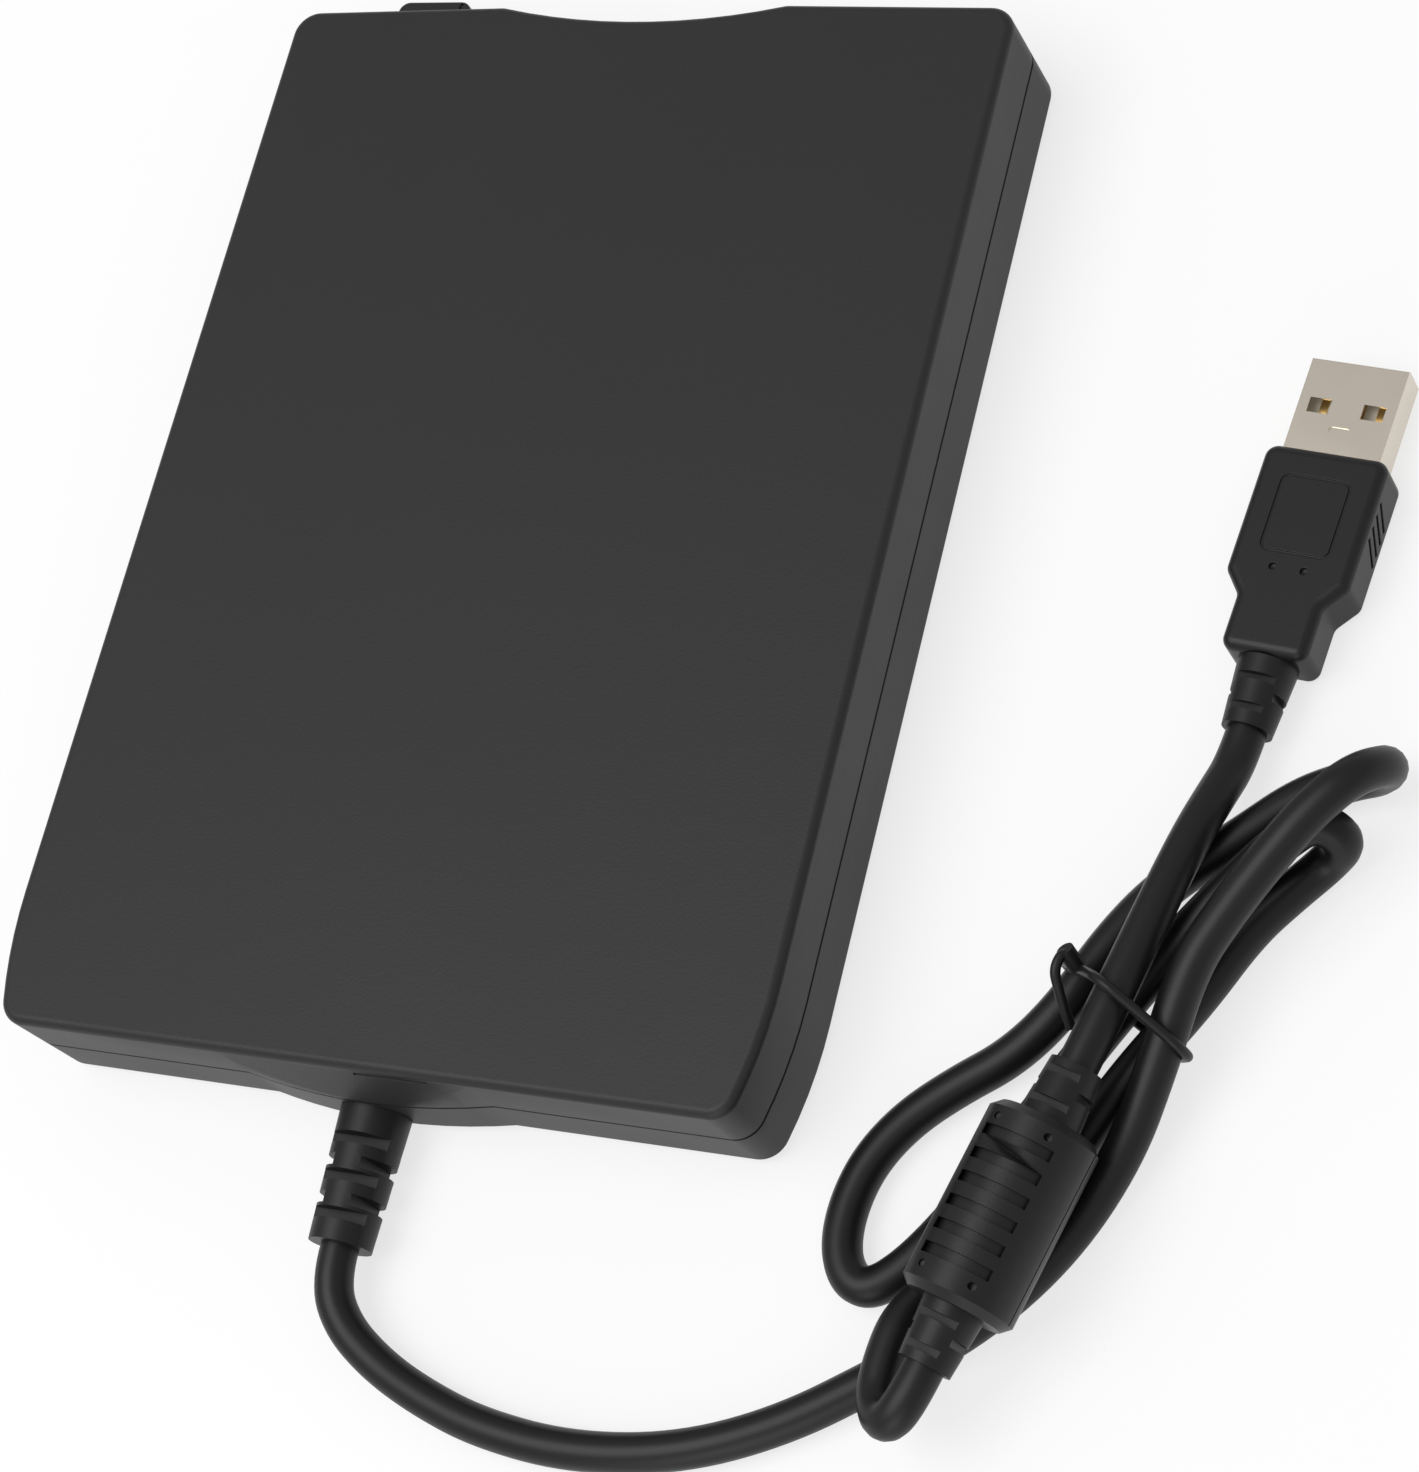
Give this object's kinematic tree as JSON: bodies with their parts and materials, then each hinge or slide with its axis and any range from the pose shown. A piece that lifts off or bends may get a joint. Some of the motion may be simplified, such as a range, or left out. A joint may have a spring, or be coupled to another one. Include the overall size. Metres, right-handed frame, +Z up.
{
  "type": "external floppy disk drive",
  "caption": "Slim external 3.5 inch floppy disk drive in a dark case with rounded corners, with an eject button, a dust door, and a folded USB cable with a ferrite and a plug.",
  "frame": {"origin": "on the table under the middle of the drive, measured without the cable", "axes": "+Z up, -Y towards the front with the disk slot, +Y towards the cable, +X to the right seen from the front"},
  "size_m": [0.1675, 0.1908, 0.0184],
  "materials": {
    "case_plastic": "fine matte moulded texture",
    "bezel_plastic": "matte",
    "button_plastic": "matte",
    "door_plastic": "matte",
    "rubber": "soft matte",
    "cable_jacket": "smooth satin jacket",
    "boot_rubber": "satin",
    "plug_plastic": "satin",
    "plug_metal": "bright nickel",
    "white_plastic": "smooth",
    "gold": "plated",
    "lens": "clear green lens",
    "steel": "plated sheet steel",
    "dark_steel": "blackened steel",
    "aluminium": "cast and machined",
    "circuit_board": "solder mask",
    "chip_black": "moulded",
    "copper": "enamelled windings",
    "magnet": "sintered",
    "mechanism_plastic": "matte",
    "ribbon": "flat cable",
    "wire_insulation": "insulated wire"
  },
  "bodies": {
    "case": {"bottom_cover": "case_plastic", "bridge_board": "circuit_board", "bridge_chip": "chip_black", "cable_boot": "boot_rubber", "cable_header": "white_plastic", "cable_long": "cable_jacket", "cable_short": "cable_jacket", "capacitors": "aluminium", "case_screws": "dark_steel", "chassis": "steel", "controller_chip": "chip_black", "crystal_can": "steel", "drive_board": "circuit_board", "dust_door_pin": "steel", "ferrite_boots": "boot_rubber", "ferrite_housing": "plug_plastic", "front_bezel": "bezel_plastic", "guide_rod": "steel", "indicator_led": "lens", "indicator_lens": "lens", "inner_leads": "wire_insulation", "lever_post": "steel", "lid_screws": "steel", "mechanism_lid": "steel", "plug_boot": "boot_rubber", "plug_contacts": "gold", "plug_grip": "plug_plastic", "plug_insulator": "white_plastic", "plug_shell": "plug_metal", "ribbon_cable": "ribbon", "ribbon_sockets": "white_plastic", "rubber_feet": "rubber", "sensor_switches": "mechanism_plastic", "spindle_bearing": "steel", "spindle_board": "circuit_board", "stator_coils": "copper", "stepper_motor": "dark_steel", "top_cover": "case_plastic", "twist_tie": "cable_jacket"},
    "door": {"dust_door": "door_plastic"},
    "eject_slide": {"eject_button": "button_plastic", "slide_plate": "steel"},
    "holder": {"disk_holder": "steel", "holder_pins": "steel"},
    "spindle": {"spindle_rotor": "steel", "disk_chuck": "steel", "rotor_magnet": "magnet"},
    "carriage": {"head_carriage": "aluminium", "lower_head": "mechanism_plastic", "arm_pivot_pin": "steel"},
    "head_arm": {"upper_head_arm": "mechanism_plastic", "upper_head": "mechanism_plastic"},
    "screw": {"lead_screw": "steel"},
    "shutter": {"shutter_lever": "mechanism_plastic"},
    "present_sensor": {"disk_present_plunger": "white_plastic"},
    "density_sensor": {"density_plunger": "white_plastic"},
    "protect_sensor": {"write_protect_plunger": "white_plastic"}
  },
  "joints": [
    {"name": "door_hinge", "type": "hinge", "parent": "case", "child": "door", "pos_m": [0, -0.0638, 0.0144], "axis": [1, 0, 0], "range_deg": [0, 85], "stiffness_Nm_per_rad": 0.0004, "springref_deg": -17.19},
    {"name": "eject_push", "type": "slide", "parent": "case", "child": "eject_slide", "axis": [0, 1, 0], "range_m": [0, 0.0042], "stiffness_N_per_m": 250, "springref_m": -0.004},
    {"name": "holder_lift", "type": "slide", "parent": "case", "child": "holder", "axis": [0, 0, 1], "range_m": [0, 0.0021]},
    {"name": "spindle_turn", "type": "hinge", "parent": "case", "child": "spindle", "pos_m": [0, -0.0144, 0.006], "axis": [0, 0, 1], "continuous": true},
    {"name": "carriage_slide", "type": "slide", "parent": "case", "child": "carriage", "axis": [0, -1, 0], "range_m": [0, 0.0148]},
    {"name": "arm_pivot", "type": "hinge", "parent": "carriage", "child": "head_arm", "pos_m": [0, 0.0491, 0.0114], "axis": [-1, 0, 0], "range_deg": [0, 8.85]},
    {"name": "screw_turn", "type": "hinge", "parent": "case", "child": "screw", "pos_m": [0.014, 0.0431, 0.0092], "axis": [0, 1, 0], "range_deg": [0, 1425]},
    {"name": "shutter_pivot", "type": "hinge", "parent": "case", "child": "shutter", "pos_m": [-0.031, 0.0361, 0.0098], "axis": [0, 0, -1], "range_deg": [0, 35], "stiffness_Nm_per_rad": 0.002, "springref_deg": -11.46},
    {"name": "present_press", "type": "slide", "parent": "case", "child": "present_sensor", "axis": [0, 0, -1], "range_m": [0, 0.001], "stiffness_N_per_m": 60, "springref_m": -0.003},
    {"name": "density_press", "type": "slide", "parent": "case", "child": "density_sensor", "axis": [0, 0, -1], "range_m": [0, 0.001], "stiffness_N_per_m": 60, "springref_m": -0.003},
    {"name": "protect_press", "type": "slide", "parent": "case", "child": "protect_sensor", "axis": [0, 0, -1], "range_m": [0, 0.001], "stiffness_N_per_m": 60, "springref_m": -0.003}
  ],
  "couplings": [
    {"joint": "holder_lift", "follows": "eject_push", "ratio": 0.5},
    {"joint": "arm_pivot", "follows": "eject_push", "rad_per_m": 36.569},
    {"joint": "screw_turn", "follows": "carriage_slide", "rad_per_m": 1675.5}
  ]
}
